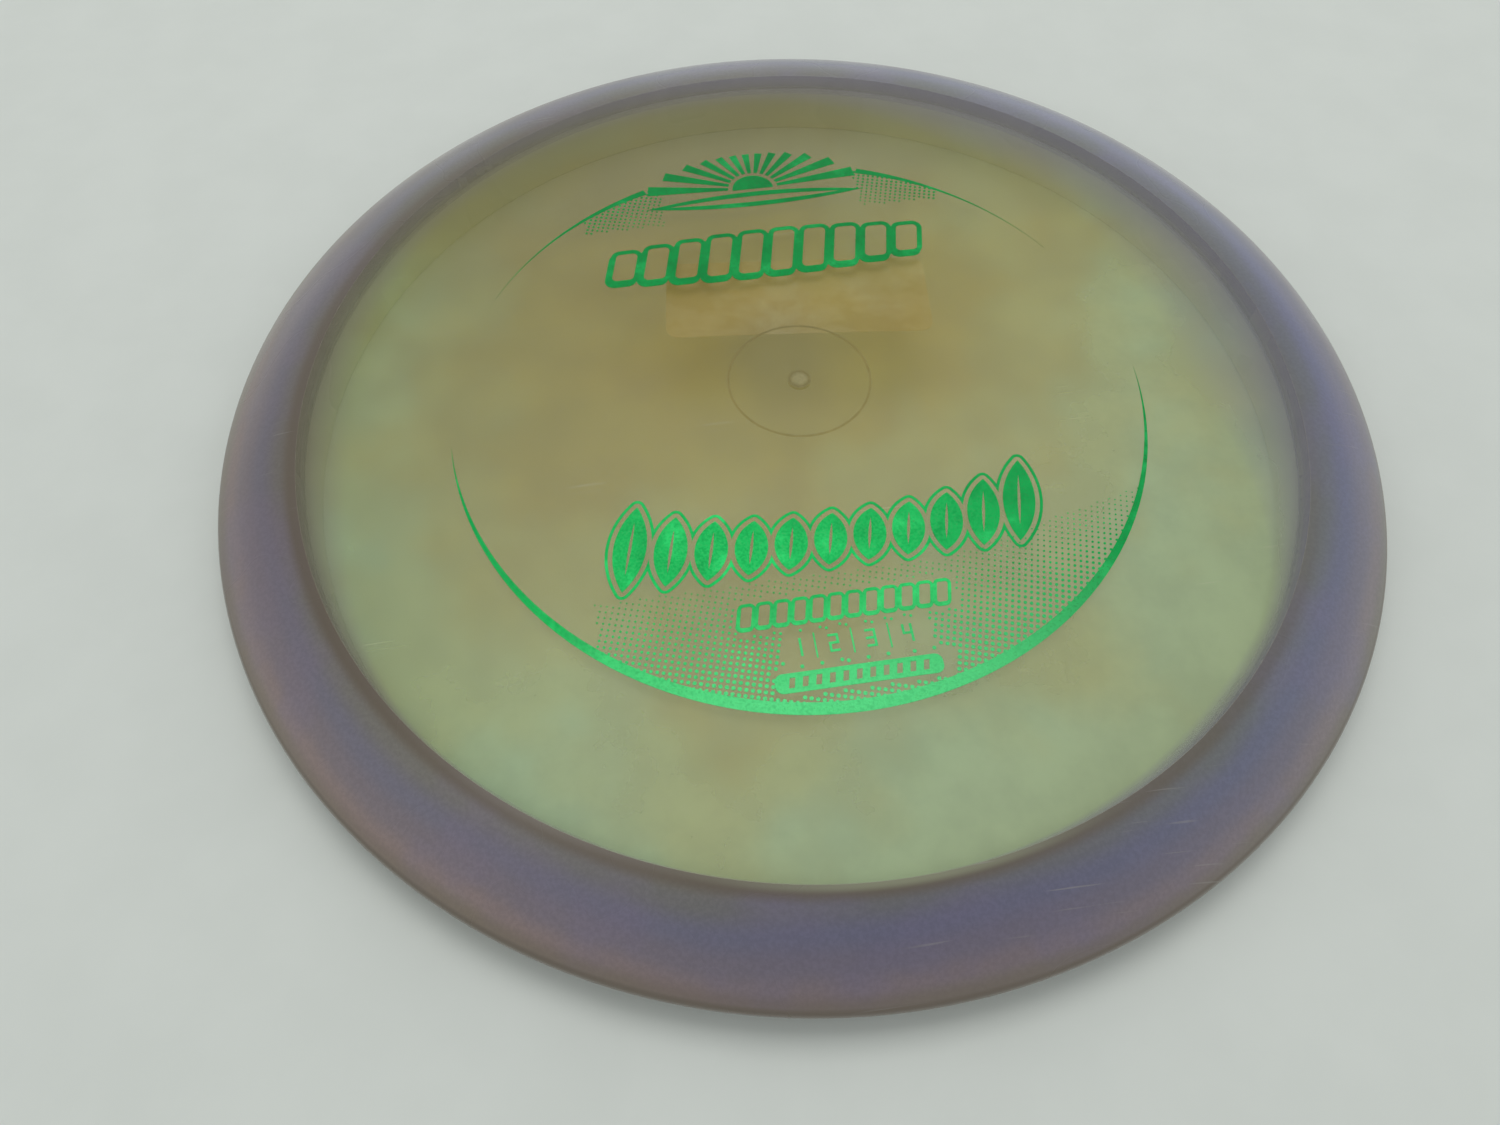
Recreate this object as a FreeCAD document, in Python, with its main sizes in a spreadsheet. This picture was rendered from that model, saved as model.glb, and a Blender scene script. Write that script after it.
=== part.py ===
"""Golf disc (a small, thick-rimmed flying disc), millimetres, +Z up.

The origin is the centre of the disc on the surface it rests on.  +Y points at the top of the
stamp and +X runs along its lines.  Every driving size is a named cell of the sheet "sizes".
"""
import FreeCAD
import Part
import math
import os

import Sketcher
from FreeCAD import Vector

doc = FreeCAD.newDocument("golf_disc")


# ---------------------------------------------------------------- driving sizes

SIZES = [
    # the moulded disc
    ("outer_diameter", 211.0),
    ("overall_height", 16.0),
    ("rim_width", 16.0),
    ("plate_thickness", 2.0),
    ("dome_drop", 2.4),
    ("corner_radius", 2.5),
    ("rest_ring_width", 3.0),
    ("nose_height", 6.0),
    ("nose_radius", 2.0),
    ("heel_radius", 1.6),
    ("lip_radius", 0.6),
    # what the mould's gate leaves under the plate
    ("gate_button_radius", 2.1),
    ("gate_button_depth", 0.7),
    ("gate_dimple_radius", 1.1),
    ("gate_dimple_depth", 0.35),
    ("gate_ring_radius", 12.9),
    ("gate_ring_width", 0.4),
    ("gate_ring_depth", 0.15),
    # the paper label under the plate
    ("label_length", 50.4),
    ("label_width", 19.5),
    ("label_corner", 2.5),
    ("label_thickness", 0.1),
    ("label_x", 3.2),
    ("label_y", 20.6),
    ("label_turn", -6.3),
    # the hot-stamped foil on the plate
    ("foil_thickness", 0.04),
    ("stamp_x", -1.0),
    ("stamp_y", -3.75),
    ("stamp_radius", 61.4),
    ("crescent_width", 2.0),
    ("crescent_tip_angle", 3.0),
    ("side_arc_width", 1.5),
    ("side_arc_tip_angle", 28.0),
    ("side_arc_gap", 0.3),
    # the half sun at the head of the stamp
    ("sun_width", 44.0),
    ("sun_height", 16.6),
    ("sun_below_head", 12.7),
    ("sun_bar_depth", 4.4),
    ("sun_ray_gap", 0.9),
    ("sun_disc_radius", 4.2),
    ("sun_ray_count", 13),
    # the row of links under it
    ("link_count", 10),
    ("link_pitch", 6.2),
    ("link_below_head", 26.2),
    ("link_up", 8.4),
    ("link_rise", 4.6),
    ("link_lean", 0.22),
    ("link_stroke", 0.8),
    ("link_shadow", 0.8),
    # the bold row of leaves below the middle
    ("leaf_count", 11),
    ("leaf_pitch", 6.5),
    ("leaf_above_foot", 25.1),
    ("leaf_up", 9.5),
    ("leaf_rise", 6.0),
    ("leaf_across", 5.4),
    ("leaf_lean", 0.25),
    ("leaf_rib", 0.5),
    ("leaf_line_gap", 0.75),
    ("leaf_line_stroke", 0.5),
    # the small rows at the foot
    ("small_link_count", 12),
    ("small_link_pitch", 2.85),
    ("small_link_above_foot", 17.8),
    ("small_link_up", 4.6),
    ("small_link_stroke", 0.45),
    ("small_link_shadow", 0.2),
    ("digit_pitch", 5.8),
    ("digit_above_foot", 11.6),
    ("digit_up", 3.0),
    ("digit_stroke", 0.4),
    ("divider_up", 4.2),
    ("divider_stroke", 0.25),
    ("footer_length", 26.0),
    ("footer_up", 3.2),
    ("footer_above_foot", 6.0),
    ("footer_count", 11),
]

sheet = doc.addObject("Spreadsheet::Sheet", "sizes")
for row, (alias, value) in enumerate(SIZES, start=1):
    sheet.set(f"A{row}", alias)
    sheet.set(f"B{row}", str(value))
    sheet.setAlias(f"B{row}", alias)
doc.recompute()


def size(alias):
    """The value that the sheet holds now, for shapes worked out in code."""
    return float(sheet.get(alias))


# Expressions that several sub-parts share.
INNER_RADIUS = "(sizes.outer_diameter / 2 - sizes.rim_width)"
DOME_RADIUS = f"(({INNER_RADIUS} ^ 2 + sizes.dome_drop ^ 2) / (2 * sizes.dome_drop))"
CROWN_TOP = "sizes.overall_height"
CROWN_UNDER = "(sizes.overall_height - sizes.plate_thickness)"
EDGE_TOP = f"({CROWN_TOP} - sizes.dome_drop)"

# The same values as numbers, for first guesses in sketches and for code-made shapes.
inner_radius = size("outer_diameter") / 2 - size("rim_width")
dome_radius = (inner_radius ** 2 + size("dome_drop") ** 2) / (2 * size("dome_drop"))
crown_top = size("overall_height")
crown_under = crown_top - size("plate_thickness")


def drop_at(radius):
    """How far the dome has fallen at this distance from the axis."""
    return dome_radius - math.sqrt(dome_radius ** 2 - radius ** 2)


def drop_expression(radius):
    return f"({DOME_RADIUS} - sqrt({DOME_RADIUS} ^ 2 - ({radius}) ^ 2))"


# ---------------------------------------------------------------- sketch and body helpers

START, END, CENTRE = 1, 2, 3
AXIS_H, AXIS_V = -1, -2


def body_with_sketch(label, plane_role):
    """A body and an empty sketch on one of the body's own origin planes."""
    body = doc.addObject("PartDesign::Body", label)
    body.Label = label
    sketch = body.newObject("Sketcher::SketchObject", label + "_sketch")
    plane = next(f for f in body.Origin.OriginFeatures if f.Role == plane_role)
    sketch.AttachmentSupport = (plane, "")
    sketch.MapMode = "FlatFace"
    return body, sketch


def drive(sketch, kind, name, expression, guess, *places):
    """Add one dimension between the given places and bind it to the sheet."""
    index = sketch.addConstraint(Sketcher.Constraint(kind, *places, guess))
    sketch.renameConstraint(index, name)
    sketch.setExpression("Constraints." + name, expression)


def place_point(sketch, name, edge, end, across, up):
    """Fix a point's two coordinates; each is (expression, guess), or None for the axis."""
    if across is None:
        sketch.addConstraint(Sketcher.Constraint("PointOnObject", edge, end, AXIS_V))
    else:
        drive(sketch, "DistanceX", name + "_across", across[0], across[1], -1, 1, edge, end)
    if up is None:
        sketch.addConstraint(Sketcher.Constraint("PointOnObject", edge, end, AXIS_H))
    else:
        drive(sketch, "DistanceY", name + "_up", up[0], up[1], -1, 1, edge, end)


def join(sketch, *pairs):
    for first, first_end, second, second_end in pairs:
        sketch.addConstraint(Sketcher.Constraint("Coincident", first, first_end, second, second_end))


def line(x0, y0, x1, y1):
    return Part.LineSegment(Vector(x0, y0, 0), Vector(x1, y1, 0))


def arc_about(cx, cy, radius, start, end):
    """Counter-clockwise arc; the angles are in radians."""
    return Part.ArcOfCircle(Part.Circle(Vector(cx, cy, 0), Vector(0, 0, 1), radius), start, end)


def revolve(body, sketch):
    turned = body.newObject("PartDesign::Revolution", body.Label + "_turned")
    turned.Profile = sketch
    turned.ReferenceAxis = (sketch, ["V_Axis"])
    turned.Angle = 360
    doc.recompute()
    return turned


def round_edge(body, base, label, radius_alias, at_radius, at_height):
    """Fillet the circular edge of the base feature that lies at this radius and height."""
    def is_wanted(edge):
        curve = edge.Curve
        return (isinstance(curve, Part.Circle) and abs(curve.Radius - at_radius) < 1e-4
                and abs(curve.Center.z - at_height) < 1e-4)

    names = [f"Edge{i}" for i, edge in enumerate(base.Shape.Edges, start=1) if is_wanted(edge)]
    fillet = body.newObject("PartDesign::Fillet", label)
    fillet.Base = (base, names)
    fillet.setExpression("Radius", "sizes." + radius_alias)
    doc.recompute()
    return fillet


# ---------------------------------------------------------------- rim

def make_rim():
    """The thick wing-shaped rim: its crown runs on from the plate's dome in one sweep."""
    body, sketch = body_with_sketch("rim", "XZ_Plane")
    edge_top = crown_top - size("dome_drop")
    nose_radius = size("nose_radius")
    nose_x = size("outer_diameter") / 2 - nose_radius
    nose_z = size("nose_height")
    heel = inner_radius + size("rest_ring_width")
    slope = math.asin(inner_radius / dome_radius)

    # First guess of the crown arc: tangent to the dome at the joint and to the nose circle.
    toward = Vector(math.sin(slope), math.cos(slope), 0)
    start = Vector(inner_radius, edge_top, 0)
    nose = Vector(nose_x, nose_z, 0)
    gap = start - nose
    wing_radius = (gap.dot(gap) - nose_radius ** 2) / (2 * (gap.dot(toward) - nose_radius))
    wing = start - toward * wing_radius
    to_nose = (nose - wing).normalize()
    crown_end = math.atan2(to_nose.y, to_nose.x)

    dome = sketch.addGeometry(
        arc_about(0, crown_top - dome_radius, dome_radius, math.pi / 2 - slope, math.pi / 2), True)
    crown = sketch.addGeometry(
        arc_about(wing.x, wing.y, wing_radius, crown_end, math.pi / 2 - slope))
    tip = sketch.addGeometry(arc_about(nose_x, nose_z, nose_radius, -1.2, crown_end))
    keel = sketch.addGeometry(line(nose_x + 0.4 * nose_radius, nose_z - 0.9 * nose_radius, heel, 0))
    ring = sketch.addGeometry(line(heel, 0, inner_radius, 0))
    wall = sketch.addGeometry(line(inner_radius, 0, inner_radius, edge_top))

    join(sketch, (ring, START, keel, END), (wall, START, ring, END), (crown, END, wall, END))
    for first, first_end, second, second_end in (
            (dome, START, crown, END), (crown, START, tip, END), (tip, START, keel, START)):
        sketch.addConstraint(
            Sketcher.Constraint("Tangent", first, first_end, second, second_end))

    place_point(sketch, "dome_centre", dome, CENTRE, None,
                (f"{CROWN_TOP} - {DOME_RADIUS}", crown_top - dome_radius))
    sketch.addConstraint(Sketcher.Constraint("PointOnObject", dome, END, AXIS_V))
    place_point(sketch, "joint", wall, END, (INNER_RADIUS, inner_radius), (EDGE_TOP, edge_top))
    place_point(sketch, "nose", tip, CENTRE,
                ("sizes.outer_diameter / 2 - sizes.nose_radius", nose_x),
                ("sizes.nose_height", nose_z))
    drive(sketch, "Radius", "nose_size", "sizes.nose_radius", nose_radius, tip)
    place_point(sketch, "heel", ring, START,
                (f"{INNER_RADIUS} + sizes.rest_ring_width", heel), None)
    place_point(sketch, "lip", ring, END, (INNER_RADIUS, inner_radius), None)
    doc.recompute()

    turned = revolve(body, sketch)
    heel_done = round_edge(body, turned, "rim_heel", "heel_radius", heel, 0)
    round_edge(body, heel_done, "rim_lip", "lip_radius", inner_radius, 0)
    return body


# ---------------------------------------------------------------- plate and other domed layers

def domed_faces(sketch, top, thickness, reach, under_reach):
    """Upper and lower arcs of a sheet of even depth that follows the dome, closed at the axis.

    Each size is (expression, value).  The arcs run out to the two reaches, and the sheet still
    lacks its outer edge.
    """
    top_z, under_z = top[1], top[1] - thickness[1]
    upper_end = math.acos(reach / dome_radius)
    lower_end = math.acos(under_reach / dome_radius)
    upper = sketch.addGeometry(
        arc_about(0, top_z - dome_radius, dome_radius, upper_end, math.pi / 2))
    lower = sketch.addGeometry(
        arc_about(0, under_z - dome_radius, dome_radius, lower_end, math.pi / 2))
    axis = sketch.addGeometry(line(0, under_z, 0, top_z))
    join(sketch, (axis, START, lower, END), (axis, END, upper, END))
    under = f"({top[0]}) - ({thickness[0]})"
    place_point(sketch, "top", axis, END, None, (top[0], top_z))
    place_point(sketch, "under", axis, START, None, (under, under_z))
    place_point(sketch, "upper_centre", upper, CENTRE, None,
                (f"({top[0]}) - {DOME_RADIUS}", top_z - dome_radius))
    place_point(sketch, "lower_centre", lower, CENTRE, None,
                (f"({under}) - {DOME_RADIUS}", under_z - dome_radius))
    return upper, lower


def make_plate():
    """The thin domed plate; a fillet thickens its edge where it runs into the rim's inner wall."""
    body, sketch = body_with_sketch("flight_plate", "XZ_Plane")
    corner = size("corner_radius")
    fillet_x = inner_radius - corner
    fillet_end = math.acos(fillet_x / (dome_radius - corner))
    fillet_z = crown_under - dome_radius + (dome_radius - corner) * math.sin(fillet_end)
    upper, lower = domed_faces(sketch, (CROWN_TOP, crown_top),
                               ("sizes.plate_thickness", size("plate_thickness")),
                               inner_radius, dome_radius * math.cos(fillet_end))
    edge_top = crown_top - size("dome_drop")
    edge = sketch.addGeometry(line(inner_radius, fillet_z, inner_radius, edge_top))
    fillet = sketch.addGeometry(arc_about(fillet_x, fillet_z, corner, 0, fillet_end))
    join(sketch, (edge, END, upper, START))
    sketch.addConstraint(Sketcher.Constraint("Vertical", edge))
    sketch.addConstraint(Sketcher.Constraint("Tangent", edge, START, fillet, START))
    sketch.addConstraint(Sketcher.Constraint("Tangent", lower, START, fillet, END))
    drive(sketch, "DistanceX", "reach", INNER_RADIUS, inner_radius, -1, 1, edge, END)
    drive(sketch, "Radius", "corner_size", "sizes.corner_radius", corner, fillet)
    doc.recompute()
    revolve(body, sketch)
    return body


def domed_layer(label, top, thickness):
    """A helper skin on the plate, which upright shapes are trimmed to."""
    body, sketch = body_with_sketch(label, "XZ_Plane")
    reach = inner_radius - size("corner_radius")
    upper, lower = domed_faces(sketch, top, thickness, reach, reach)
    fall = drop_at(reach)
    edge = sketch.addGeometry(line(reach, top[1] - thickness[1] - fall, reach, top[1] - fall))
    join(sketch, (edge, START, lower, START), (edge, END, upper, START))
    sketch.addConstraint(Sketcher.Constraint("Vertical", edge))
    drive(sketch, "DistanceX", "reach", f"{INNER_RADIUS} - sizes.corner_radius", reach,
          -1, 1, edge, END)
    doc.recompute()
    revolve(body, sketch)
    return body


# ---------------------------------------------------------------- gate button and gate ring

def make_gate_button():
    """The round stub under the centre, dished where the runner was cut off."""
    body, sketch = body_with_sketch("gate_button", "XZ_Plane")
    radius = size("gate_button_radius")
    foot = crown_under - size("gate_button_depth")
    dimple = size("gate_dimple_radius")
    roof = foot + size("gate_dimple_depth")
    shoulder = crown_under - drop_at(radius)
    corners = [(0, roof), (dimple, foot), (radius, foot), (radius, shoulder)]
    edges = [sketch.addGeometry(line(*corners[i], *corners[i + 1])) for i in range(3)]
    spread = math.asin(radius / dome_radius)
    seat = sketch.addGeometry(
        arc_about(0, crown_under - dome_radius, dome_radius, math.pi / 2 - spread, math.pi / 2))
    axis = sketch.addGeometry(line(0, crown_under, 0, roof))
    join(sketch, (edges[0], END, edges[1], START), (edges[1], END, edges[2], START),
         (edges[2], END, seat, START), (seat, END, axis, START), (axis, END, edges[0], START))
    foot_z = f"{CROWN_UNDER} - sizes.gate_button_depth"
    place_point(sketch, "roof", edges[0], START, None, (f"{foot_z} + sizes.gate_dimple_depth", roof))
    place_point(sketch, "dimple", edges[0], END, ("sizes.gate_dimple_radius", dimple), (foot_z, foot))
    place_point(sketch, "foot", edges[1], END, ("sizes.gate_button_radius", radius), (foot_z, foot))
    sketch.addConstraint(Sketcher.Constraint("Vertical", edges[2]))
    place_point(sketch, "seat_centre", seat, CENTRE, None,
                (f"{CROWN_UNDER} - {DOME_RADIUS}", crown_under - dome_radius))
    place_point(sketch, "crown", axis, START, None, (CROWN_UNDER, crown_under))
    doc.recompute()
    revolve(body, sketch)
    return body


def make_gate_ring():
    """The fine raised line that the gate insert leaves round the button."""
    body, sketch = body_with_sketch("gate_ring", "XZ_Plane")
    half = size("gate_ring_width") / 2
    middle = size("gate_ring_radius")
    sides = [("inner", "(sizes.gate_ring_radius - sizes.gate_ring_width / 2)", middle - half),
             ("outer", "(sizes.gate_ring_radius + sizes.gate_ring_width / 2)", middle + half)]
    seats = [crown_under - drop_at(radius) for _, _, radius in sides]
    crest = crown_under - drop_at(middle) - size("gate_ring_depth")
    inner, outer = sides[0][2], sides[1][2]
    seat = sketch.addGeometry(line(inner, seats[0], outer, seats[1]))
    outer_flank = sketch.addGeometry(line(outer, seats[1], middle, crest))
    inner_flank = sketch.addGeometry(line(middle, crest, inner, seats[0]))
    join(sketch, (seat, END, outer_flank, START), (outer_flank, END, inner_flank, START),
         (inner_flank, END, seat, START))
    for (name, expression, radius), height, end in zip(sides, seats, (START, END)):
        place_point(sketch, name, seat, end, (expression, radius),
                    (f"{CROWN_UNDER} - {drop_expression(expression)}", height))
    place_point(sketch, "crest", outer_flank, END, ("sizes.gate_ring_radius", middle),
                (f"{CROWN_UNDER} - {drop_expression('sizes.gate_ring_radius')}"
                 " - sizes.gate_ring_depth", crest))
    doc.recompute()
    revolve(body, sketch)
    return body


# ---------------------------------------------------------------- what is laid on a domed layer

def laid_on(label, upright, layer):
    """The part of an upright shape that lies within a domed layer."""
    common = doc.addObject("Part::Common", label)
    common.Label = label
    common.Base = upright
    common.Tool = layer
    doc.recompute()
    return common


def make_label(layer):
    """The paper label: a rounded rectangle stuck to the underside of the plate."""
    block = doc.addObject("Part::Box", "label_block")
    block.setExpression("Length", "sizes.label_length")
    block.setExpression("Width", "sizes.label_width")
    block.setExpression("Height", CROWN_TOP)
    doc.recompute()
    upright_edges = [i for i, edge in enumerate(block.Shape.Edges, start=1)
                     if abs(edge.tangentAt(edge.FirstParameter).z) > 0.99]
    rounded = doc.addObject("Part::Fillet", "label_outline")
    rounded.Base = block
    corner = size("label_corner")
    rounded.Edges = [(i, corner, corner) for i in upright_edges]
    turn = "sizes.label_turn"
    rounded.setExpression("Placement.Rotation.Angle", turn)
    rounded.setExpression(
        "Placement.Base.x",
        f"sizes.label_x - sizes.label_length / 2 * cos({turn}) + sizes.label_width / 2 * sin({turn})")
    rounded.setExpression(
        "Placement.Base.y",
        f"sizes.label_y - sizes.label_length / 2 * sin({turn}) - sizes.label_width / 2 * cos({turn})")
    doc.recompute()
    return laid_on("label", rounded, layer)


# ---------------------------------------------------------------- foil: the stamp's ring

def standing(sketch, label):
    """Stand a closed outline up through the dome."""
    prism = doc.addObject("Part::Extrusion", label + "_prism")
    prism.Base = sketch
    prism.DirMode = "Custom"
    prism.Dir = Vector(0, 0, 1)
    prism.setExpression("LengthFwd", f"{CROWN_TOP} * 2")
    prism.Solid = True
    doc.recompute()
    return prism


def make_crescent(layer):
    """The lower part of the stamp's ring: thin at both tips, widest at the bottom."""
    sketch = doc.addObject("Sketcher::SketchObject", "foil_crescent_sketch")
    radius, width = size("stamp_radius"), size("crescent_width")
    tip = math.radians(size("crescent_tip_angle"))
    shift = width * (2 * radius - width) / (2 * (radius - width - radius * math.sin(tip)))
    inner_radius_guess = radius - width + shift
    cx, cy = size("stamp_x"), size("stamp_y")
    inner_tip = math.asin((radius * math.sin(tip) + shift) / inner_radius_guess)
    outer = sketch.addGeometry(arc_about(cx, cy, radius, math.pi + tip, 2 * math.pi - tip))
    inner = sketch.addGeometry(
        arc_about(cx, cy + shift, inner_radius_guess, math.pi + inner_tip, 2 * math.pi - inner_tip))
    join(sketch, (outer, START, inner, START), (outer, END, inner, END))
    r, w = "sizes.stamp_radius", "sizes.crescent_width"
    shift_expression = f"{w} * (2 * {r} - {w}) / (2 * ({r} - {w} - {r} * sin(sizes.crescent_tip_angle)))"
    place_point(sketch, "outer_centre", outer, CENTRE, ("sizes.stamp_x", cx), ("sizes.stamp_y", cy))
    place_point(sketch, "inner_centre", inner, CENTRE, ("sizes.stamp_x", cx),
                (f"sizes.stamp_y + {shift_expression}", cy + shift))
    drive(sketch, "Radius", "outer_size", r, radius, outer)
    drive(sketch, "Radius", "inner_size", f"{r} - {w} + {shift_expression}", inner_radius_guess, inner)
    doc.recompute()
    return laid_on("foil_crescent", standing(sketch, "foil_crescent"), layer)


def make_side_arc(label, side, layer):
    """One of the two upper arcs of the ring; side is -1 for left and +1 for right."""
    sketch = doc.addObject("Sketcher::SketchObject", label + "_sketch")
    radius, width = size("stamp_radius"), size("side_arc_width")
    cx, cy = size("stamp_x"), size("stamp_y")
    end_across = size("sun_width") / 2 + size("side_arc_gap")
    tip, end = math.radians(size("side_arc_tip_angle")), math.acos(end_across / radius)

    def at(angle, distance):
        return Vector(cx + side * distance * math.cos(angle), cy + distance * math.sin(angle), 0)

    def heading(point, centre):
        return math.atan2(point.y - centre.y, point.x - centre.x) % (2 * math.pi)

    def arc_between(centre, arc_radius, first_point, last_point):
        angles = sorted([heading(first_point, centre), heading(last_point, centre)])
        return arc_about(centre.x, centre.y, arc_radius, *angles)

    tip_point, end_point, inner_point = at(tip, radius), at(end, radius), at(end, radius - width)
    # The inner edge is a smaller circle that touches the outer one at the tip, so the band tapers.
    inset = (radius ** 2 - (radius - width) ** 2) / (2 * (radius - (radius - width) * math.cos(end - tip)))
    outer = sketch.addGeometry(arc_between(Vector(cx, cy, 0), radius, tip_point, end_point))
    inner = sketch.addGeometry(arc_between(at(tip, inset), radius - inset, tip_point, inner_point))
    cap = sketch.addGeometry(Part.LineSegment(end_point, inner_point))
    first, last = (END, START) if side < 0 else (START, END)
    sketch.addConstraint(Sketcher.Constraint("Tangent", outer, first, inner, first))
    join(sketch, (outer, last, cap, START), (inner, last, cap, END))
    # The band ends beside the emblem, on the ring's own radius.
    r, w = "sizes.stamp_radius", "sizes.side_arc_width"
    reach = "(sizes.sun_width / 2 + sizes.side_arc_gap)"
    rise = f"sqrt({r} ^ 2 - {reach} ^ 2)"
    tip_angle = "sizes.side_arc_tip_angle"
    for name, edge, which, across, up, point in (
            ("tip", outer, first, f"{r} * cos({tip_angle})", f"{r} * sin({tip_angle})", tip_point),
            ("end", outer, last, reach, rise, end_point),
            ("inner", inner, last, f"{reach} * (1 - {w} / {r})", f"{rise} * (1 - {w} / {r})", inner_point)):
        place_point(sketch, name, edge, which, (f"sizes.stamp_x + {side} * {across}", point.x),
                    (f"sizes.stamp_y + {up}", point.y))
    drive(sketch, "Radius", "outer_size", r, radius, outer)
    doc.recompute()
    return laid_on(label, standing(sketch, label), layer)


# ---------------------------------------------------------------- foil: patterns worked out in code

def polygon_face(points):
    corners = [Vector(x, y, 0) for x, y in points]
    return Part.Face(Part.makePolygon(corners + corners[:1]))


def grown(face, by):
    """The same outline pushed outwards, with round corners."""
    return face.makeOffset2D(by, 0, False, False, False)


def merged(faces):
    whole = faces[0] if len(faces) == 1 else faces[0].multiFuse(faces[1:])
    return whole.removeSplitter()


def slanted_block(cx, cy, across, up, lean):
    """A parallelogram whose top is shifted sideways by lean for each millimetre of height."""
    shift = lean * up / 2
    return polygon_face([
        (cx - across / 2 - shift, cy - up / 2), (cx + across / 2 - shift, cy - up / 2),
        (cx + across / 2 + shift, cy + up / 2), (cx - across / 2 + shift, cy + up / 2)])


def leaf(cx, cy, across, up, lean):
    """A pointed oval between its foot and its tip, bounded by two arcs."""
    foot = Vector(cx - lean * up / 2, cy - up / 2, 0)
    tip = Vector(cx + lean * up / 2, cy + up / 2, 0)
    side = Vector(up, -lean * up, 0).normalize() * (across / 2)
    middle = (foot + tip) * 0.5
    right = Part.Arc(foot, middle + side, tip).toShape()
    left = Part.Arc(tip, middle - side, foot).toShape()
    return Part.Face(Part.Wire([right, left]))


def below_head(alias):
    """Height above the stamp's centre of something measured down from the head of its ring."""
    return size("stamp_radius") - size(alias)


def above_foot(alias):
    """Height above the stamp's centre of something measured up from the foot of its ring."""
    return size(alias) - size("stamp_radius")


def from_stamp_centre(shape):
    shape.translate(Vector(size("stamp_x"), size("stamp_y"), 0))
    return shape


def foil(label, flat, layer):
    """Lay a flat foil outline, drawn about the stamp's centre, onto the dome."""
    prism = from_stamp_centre(flat).extrude(Vector(0, 0, crown_top * 2))
    piece = doc.addObject("Part::Feature", label)
    piece.Label = label
    piece.Shape = Part.makeCompound(prism.common(layer.Shape).Solids)
    piece.Placement = FreeCAD.Placement()
    return piece


def make_sun(layer):
    """Emblem at the head of the stamp: a half sun with rays over a pointed bar."""
    width, height, foot = size("sun_width"), size("sun_height"), below_head("sun_below_head")
    bar_depth, ray_gap = size("sun_bar_depth"), size("sun_ray_gap")
    disc_radius = size("sun_disc_radius")
    ray_count = int(size("sun_ray_count"))
    bar = leaf(0, 0, bar_depth, width, 0)
    bar.rotate(Vector(0, 0, 0), Vector(0, 0, 1), 90)
    bar.translate(Vector(0, foot + bar_depth / 2, 0))
    core = leaf(0, 0, bar_depth * 0.4, width * 0.8, 0)
    core.rotate(Vector(0, 0, 0), Vector(0, 0, 1), 90)
    core.translate(Vector(0, foot + bar_depth / 2, 0))
    horizon = foot + bar_depth + ray_gap
    disc = Part.Face(Part.Wire([
        Part.Arc(Vector(disc_radius, horizon, 0), Vector(0, horizon + disc_radius, 0),
                 Vector(-disc_radius, horizon, 0)).toShape(),
        Part.makeLine(Vector(-disc_radius, horizon, 0), Vector(disc_radius, horizon, 0))]))
    rays = []
    reach_x, reach_y = width / 2, foot + height - horizon
    for i in range(ray_count):
        angle = math.pi * (i + 0.5) / ray_count
        outward = Vector(math.cos(angle), math.sin(angle), 0)
        aside = Vector(-outward.y, outward.x, 0)
        far = 1 / math.hypot(outward.x / reach_x, outward.y / reach_y)
        near = disc_radius + ray_gap
        half_step = math.pi / ray_count / 2
        near_half, far_half = near * half_step * 0.6, far * half_step * 0.55
        centre = Vector(0, horizon, 0)
        ends = [centre + outward * near - aside * near_half, centre + outward * far - aside * far_half,
                centre + outward * far + aside * far_half, centre + outward * near + aside * near_half]
        rays.append(polygon_face([(p.x, p.y) for p in ends]))
    return foil("foil_sun", Part.makeCompound([bar.cut(core), disc] + rays), layer)


def link_row(count, pitch, middle_y, up, rise, stroke, shadow):
    """A row of slanted rounded links drawn as outlines, tallest in the middle.

    The lower left of every line is thickened by shadow, as under a raised letter.
    """
    outside, inside = [], []
    across = pitch - 2 * stroke
    round_off = 0.25 * across
    for i in range(count):
        place = i - (count - 1) / 2
        tall = up + rise * math.cos(math.pi * place / count)
        core = slanted_block(place * pitch, middle_y, across - 2 * round_off,
                             tall - 2 * round_off - 2 * stroke, size("link_lean"))
        inside.append(grown(core, round_off - stroke / 4))
        raised = grown(core, round_off + stroke)
        dropped = raised.copy()
        dropped.translate(Vector(-shadow * 0.6, -shadow, 0))
        outside += [raised, dropped]
    return merged(outside).cut(Part.makeCompound(inside))


def make_link_row(layer):
    """The upper row: large open links."""
    middle_y = below_head("link_below_head")
    flat = link_row(int(size("link_count")), size("link_pitch"), middle_y, size("link_up"),
                    size("link_rise"), size("link_stroke"), size("link_shadow"))
    return foil("foil_link_row", flat, layer)


def make_small_links(layer):
    """The small row between the leaves and the digits."""
    middle_y = above_foot("small_link_above_foot")
    flat = link_row(int(size("small_link_count")), size("small_link_pitch"), middle_y,
                    size("small_link_up"), 0, size("small_link_stroke"), size("small_link_shadow"))
    return foil("foil_small_links", flat, layer)


def leaf_row_faces():
    """The bold row: slanted leaves, tall at both ends and low in the middle."""
    count, pitch = int(size("leaf_count")), size("leaf_pitch")
    leaves = []
    for i in range(count):
        place = i - (count - 1) / 2
        from_middle = abs(place) / ((count - 1) / 2)
        tall = size("leaf_up") + size("leaf_rise") * from_middle ** 3
        middle_y = above_foot("leaf_above_foot") + tall / 2
        leaves.append(leaf(place * pitch, middle_y, size("leaf_across"), tall, size("leaf_lean")))
    return leaves


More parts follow.
